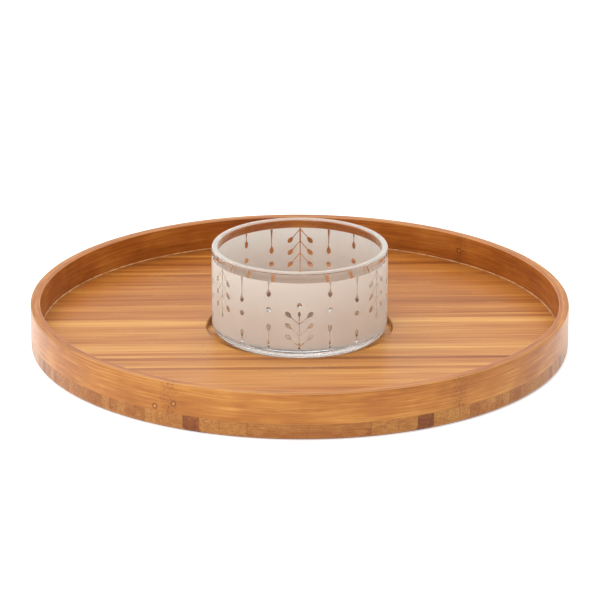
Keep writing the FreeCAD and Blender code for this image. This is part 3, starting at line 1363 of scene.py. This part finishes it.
    def etch(self, bowl: bpy.types.Object) -> None:
        """Replaces the plain band of the bowl's wall by the etched tiles.

        Args:
            bowl: The plain bowl, whose wall is upright above its rounded foot.
        """
        foot = self.bottom + self.foot_round
        top = self.bottom + self.frost_top
        only(bowl)
        in_edit_mode(
            "FACE",
            lambda: bpy.ops.mesh.select_all(action="SELECT"),
            lambda: bpy.ops.mesh.bisect(plane_co=(0.0, 0.0, top), plane_no=(0.0, 0.0, 1.0)),
        )
        middle_of_wall = self.radius - self.wall / 2.0
        pick(bowl, lambda centre, normal: foot < centre.z < top
             and math.hypot(centre.x, centre.y) > middle_of_wall)
        in_edit_mode("FACE", lambda: bpy.ops.mesh.delete(type="FACE"))

        first = self.etched_tile(bowl.data.materials)
        tiles = [first]
        for number in range(1, self.tiles):
            copy = first.copy()
            copy.data = first.data.copy()
            copy.data.transform(Matrix.Rotation(TURN * number / self.tiles, 4, "Z"))
            bpy.context.scene.collection.objects.link(copy)
            tiles.append(copy)
        only(bowl)
        for tile in tiles:
            tile.select_set(True)
        bpy.ops.object.join()
        clean(bowl, merge=0.004 * MM)

    def finish_edges(self, bowl: bpy.types.Object) -> None:
        """Grinds the top of the lip, and fades the frost out over the foot's round."""
        lip = self.top - self.wall * self.ground_share
        low, high = self.bottom + self.fade_foot, self.bottom + self.foot_round
        for face in bowl.data.polygons:
            out = math.hypot(face.center.x, face.center.y)
            if face.center.z > lip:
                face.material_index = GlassFace.GROUND
            elif low < face.center.z < high and out > self.radius - self.wall / 2.0:
                face.material_index = GlassFace.FADE

    def make(self) -> None:
        """Models, etches, dresses and places the bowl."""
        bowl = self.blank()
        for face in GlassFace:
            bowl.data.materials.append(GLASS[face].material())
        self.etch(bowl)
        self.finish_edges(bowl)
        only(bowl)
        bowl.rotation_euler.z = math.radians(self.turned)
        bpy.ops.object.transform_apply(location=False, rotation=True, scale=False)
        smooth(bowl, 50.0)
        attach(bowl, self.body)
        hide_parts(self.node)
        log.info("bowl: %s, %d faces", bowl.name, len(bowl.data.polygons))


# ---------------------------------------------------------------------------
# The studio
# ---------------------------------------------------------------------------


@dataclass(frozen=True)
class SoftLight:
    """A large square lamp that looks at the middle of the tray."""

    name: str
    place: tuple[float, float, float]
    size: float
    watts: float

    def make(self, target: Vector) -> None:
        """Adds the lamp and turns it towards its target."""
        data = bpy.data.lights.new(self.name, "AREA")
        data.size = self.size
        data.energy = self.watts
        lamp = bpy.data.objects.new(self.name, data)
        lamp.location = self.place
        lamp.rotation_mode = "QUATERNION"
        lamp.rotation_quaternion = (target - lamp.location).to_track_quat("-Z", "Y")
        bpy.context.scene.collection.objects.link(lamp)


@dataclass
class Studio:
    """A white table, soft light from all round, and the camera."""

    target: Vector = field(default_factory=lambda: Vector((0.0, 0.0, 0.020)))
    camera_distance: float = 2.4
    camera_rise: float = 19.8
    camera_side: float = -2.0
    camera_tilt_up: float = 0.273
    camera_turn_right: float = 0.006
    camera_roll: float = 0.188
    lens: float = 193.07
    sensor: float = 36.0
    sky_level: float = 0.34
    sky_overhead: float = 1.4
    sky_behind: float = 1.5
    horizon_behind: float = 1.6
    sky_left: float = 0.12
    table_size: float = 30.0
    table_tint: Colour = (0.85, 0.85, 0.85)
    # Painted light: the table glows though it is no lamp, brighter to the left.
    table_painted_glow: float = 0.85
    painted_glow_right: float = 0.25
    painted_glow_reach: float = 0.7
    lights: tuple[SoftLight, ...] = (
        SoftLight("overhead", (-0.7, 0.5, 1.9), 0.9, 3.0),
        SoftLight("front", (-0.5, -1.6, 1.1), 0.8, 7.0),
    )

    def make_table(self) -> None:
        """Adds the white table under the tray, which glows with painted light that is brighter on
        the left.
        """
        bpy.ops.object.select_all(action="DESELECT")
        bpy.ops.mesh.primitive_plane_add(size=self.table_size, location=(0.0, 0.0, 0.0))
        table = named(bpy.context.object, "table")
        made, graph, shader = new_material("white_table")
        place = graph.node("ShaderNodeTexCoord").outputs["Object"]
        speckle = graph.noise(place, 40.0)
        rough = graph.math("MULTIPLY_ADD", speckle, 0.05, 0.75)
        parts = graph.node("ShaderNodeSeparateXYZ", Vector=place).outputs
        # The painted glow stops under the tray, as a contact shadow would, so the tray's bottom
        # edge stays in shade.
        beside = graph.band(graph.length(parts["X"], parts["Y"]), TRAY_RADIUS - 6.0 * MM,
                            TRAY_RADIUS - 2.0 * MM)
        # Painted light: the glow is brighter to the left than to the right.
        left = graph.band(parts["X"], -self.painted_glow_reach, self.painted_glow_reach, 1.0, self.painted_glow_right)
        glow = graph.math("MULTIPLY", graph.math("MULTIPLY", beside, left), self.table_painted_glow)
        shader.inputs["Base Color"].default_value = (*self.table_tint, 1.0)
        shader.inputs["Emission Color"].default_value = (1.0, 1.0, 1.0, 1.0)
        graph.feed(shader.inputs["Emission Strength"], glow)
        graph.feed(shader.inputs["Roughness"], rough)
        table.data.materials.append(made)

    def make_sky(self) -> None:
        """Surrounds everything with white light, brightest overhead and to the left."""
        world = bpy.data.worlds.new("white_studio")
        world.use_nodes = True
        graph = Graph(world.node_tree)
        background = world.node_tree.nodes["Background"]
        background.inputs["Color"].default_value = (1.0, 1.0, 1.0, 1.0)
        towards = graph.node("ShaderNodeTexCoord").outputs["Generated"]
        parts = graph.node("ShaderNodeSeparateXYZ", Vector=towards).outputs
        height = graph.math("POWER", graph.math("MAXIMUM", parts["Z"], 0.0), 2.0)
        high = graph.band(parts["Z"], 0.34, 0.6)
        low = graph.band(parts["Z"], 0.1, 0.26, self.horizon_behind, 0.0)
        back = graph.math("MAXIMUM", parts["Y"], 0.0)
        glow = graph.math("MULTIPLY_ADD", high, self.sky_behind, low)
        strength = graph.math("MULTIPLY_ADD", parts["X"], -self.sky_left, self.sky_level)
        strength = graph.math("MULTIPLY_ADD", back, glow, strength)
        strength = graph.math("MULTIPLY_ADD", height, self.sky_overhead, strength)
        graph.feed(background.inputs["Strength"], strength)
        bpy.context.scene.world = world

    def make_camera(self) -> None:
        """Adds the camera, which looks down a little from a long way off."""
        side = math.radians(self.camera_side)
        rise = math.radians(self.camera_rise)
        back = Vector((math.sin(side) * math.cos(rise), -math.cos(side) * math.cos(rise),
                       math.sin(rise)))
        tilt = rise - math.radians(self.camera_tilt_up)
        facing = side + math.radians(-self.camera_turn_right)
        ahead = Vector((-math.sin(facing) * math.cos(tilt), math.cos(facing) * math.cos(tilt),
                        -math.sin(tilt)))
        data = bpy.data.cameras.new("camera")
        data.lens = self.lens
        data.sensor_width = self.sensor
        camera = bpy.data.objects.new("camera", data)
        camera.location = self.target + back * self.camera_distance
        camera.rotation_mode = "QUATERNION"
        roll = Quaternion((0.0, 0.0, 1.0), math.radians(self.camera_roll))
        camera.rotation_quaternion = ahead.to_track_quat("-Z", "Y") @ roll
        bpy.context.scene.collection.objects.link(camera)
        bpy.context.scene.camera = camera

    def make(self) -> None:
        """Builds the whole studio."""
        self.make_table()
        self.make_sky()
        self.make_camera()
        for light in self.lights:
            light.make(self.target)
        bpy.context.scene.view_settings.view_transform = "Standard"


def main() -> None:
    """Builds the server piece by piece, then the studio round it."""
    logging.basicConfig(level=logging.INFO, format="%(name)s %(message)s")
    groups = BambooGroups()
    floor = TrayFloor()
    floor.dress(StripBamboo(groups, floor.strip_width).material())
    rim = Rim()
    rim.make(groups)
    GlueBead(rim).make(DriedGlue().material())
    Bowl().make()
    Studio().make()


if __name__ == "__main__":
    main()
